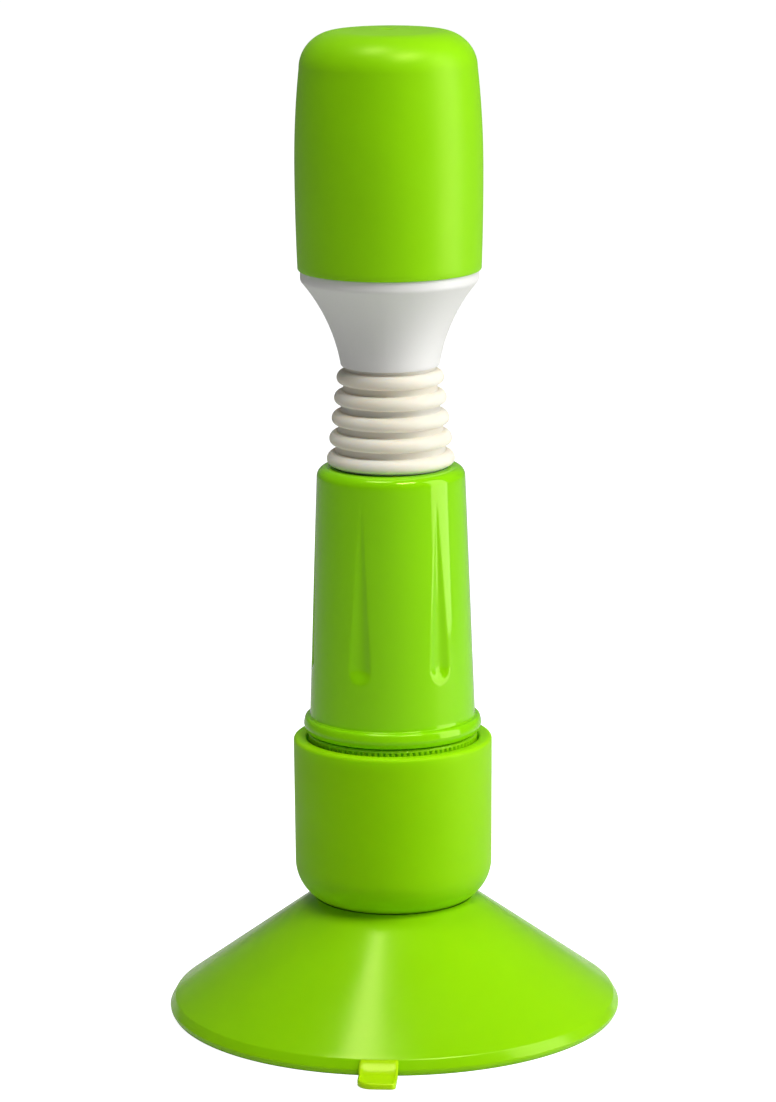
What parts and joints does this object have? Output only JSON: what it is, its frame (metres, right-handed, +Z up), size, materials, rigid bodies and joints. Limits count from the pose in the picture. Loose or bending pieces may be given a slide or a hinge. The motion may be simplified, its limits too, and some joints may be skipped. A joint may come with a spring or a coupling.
{
  "type": "cordless massager on suction stand",
  "caption": "Slim cordless massager with a ribbed bending neck and a soft round head, standing in a cup on a suction disc with a pull tab.",
  "frame": {"origin": "centre of the flat ring on which the suction disc rests", "axes": "+Z up along the massager, -Y towards the front, where the pull tab is, +X to the right"},
  "size_m": [0.0974, 0.1061, 0.2118],
  "materials": {
    "disc_vinyl": "glossy soft lime vinyl, wipe-clean",
    "tab_vinyl": "the same vinyl, thin enough to glow yellower",
    "cup_rubber": "satin soft lime rubber",
    "washer_nylon": "natural nylon",
    "cap_plastic": "knurled lime plastic",
    "contact_brass": "plain sheet brass",
    "cell_sleeve": null,
    "handle_plastic": "high-gloss lime plastic",
    "seal_rubber": "black seal rubber",
    "inner_plastic": "matt white plastic",
    "spring_steel": "plain spring wire",
    "neck_rubber": "cream satin rubber",
    "lead_red_pvc": "red lead insulation",
    "lead_black_pvc": "black lead insulation",
    "funnel_plastic": "smooth white plastic",
    "cover_rubber": "satin soft lime rubber with a fine grain",
    "motor_steel": "zinc-plated drawn steel",
    "bell_plastic": "black moulded plastic",
    "magnet_ferrite": "dark ferrite",
    "screw_steel": "plain steel",
    "armature_steel": "laminated steel",
    "weight_steel": "sintered steel"
  },
  "bodies": {
    "root": {"suction_disc": "disc_vinyl"},
    "tab": {"pull_tab": "tab_vinyl"},
    "cup": {"holder_cup": "cup_rubber", "floor_washer": "washer_nylon", "hub_rivet": "washer_nylon"},
    "cap": {"twist_cap": "cap_plastic", "cap_contact": "contact_brass"},
    "cells": {"battery_left": "cell_sleeve", "battery_right": "cell_sleeve"},
    "handle": {"handle_shell": "handle_plastic", "seal_ring": "seal_rubber", "contact_carrier": "inner_plastic", "plus_contact": "contact_brass", "minus_spring": "spring_steel", "neck_clamp_lower": "inner_plastic"},
    "neck": {"neck_bellows": "neck_rubber", "lead_red": "lead_red_pvc", "lead_black": "lead_black_pvc"},
    "head": {"neck_clamp_upper": "inner_plastic", "head_funnel": "funnel_plastic", "head_housing": "inner_plastic", "head_cover": "cover_rubber", "motor_can": "motor_steel", "motor_end_bell": "bell_plastic", "motor_terminals": "contact_brass", "motor_magnets": "magnet_ferrite", "motor_cradle": "inner_plastic", "cradle_screws": "screw_steel"},
    "rotor": {"motor_armature": "armature_steel", "motor_shaft": "screw_steel", "eccentric_weight": "weight_steel"}
  },
  "joints": [
    {"name": "suction_press", "type": "slide", "parent": "root", "child": "cup", "axis": [0, 0, 1], "range_m": [-0.007, 0], "stiffness_N_per_m": 3000, "springref_m": 0.0012, "deforming": ["suction_disc"]},
    {"name": "tab_lift", "type": "hinge", "parent": "root", "child": "tab", "pos_m": [-0.00347, -0.04958, 0.0022], "axis": [-0.9976, 0.0698, 0], "range_deg": [0, 60], "stiffness_Nm_per_rad": 0.02},
    {"name": "wand_lift", "type": "slide", "parent": "cup", "child": "cap", "axis": [0, 0, 1], "range_m": [0, 0.04]},
    {"name": "cap_twist", "type": "hinge", "parent": "cap", "child": "cells", "pos_m": [0, 0, 0.06167], "axis": [0, 0, 1], "range_deg": [0, 540]},
    {"name": "thread_rise", "type": "slide", "parent": "cells", "child": "handle", "axis": [0, 0, 1], "range_m": [0, 0.0046]},
    {"name": "neck_bend_fore_aft", "type": "hinge", "parent": "handle", "child": "neck", "pos_m": [0, 0, 0.125], "axis": [1, 0, 0], "range_deg": [-30, 30], "stiffness_Nm_per_rad": 0.4, "deforming": ["neck_bellows", "lead_red", "lead_black"]},
    {"name": "neck_bend_sideways", "type": "hinge", "parent": "neck", "child": "head", "pos_m": [0, 0, 0.1355], "axis": [0, 1, 0], "range_deg": [-30, 30], "stiffness_Nm_per_rad": 0.4},
    {"name": "motor_spin", "type": "hinge", "parent": "head", "child": "rotor", "pos_m": [0, 0, 0.19047], "axis": [0, 0, 1], "continuous": true}
  ],
  "couplings": [
    {"joint": "thread_rise", "follows": "cap_twist", "m_per_rad": 0.00047746}
  ]
}
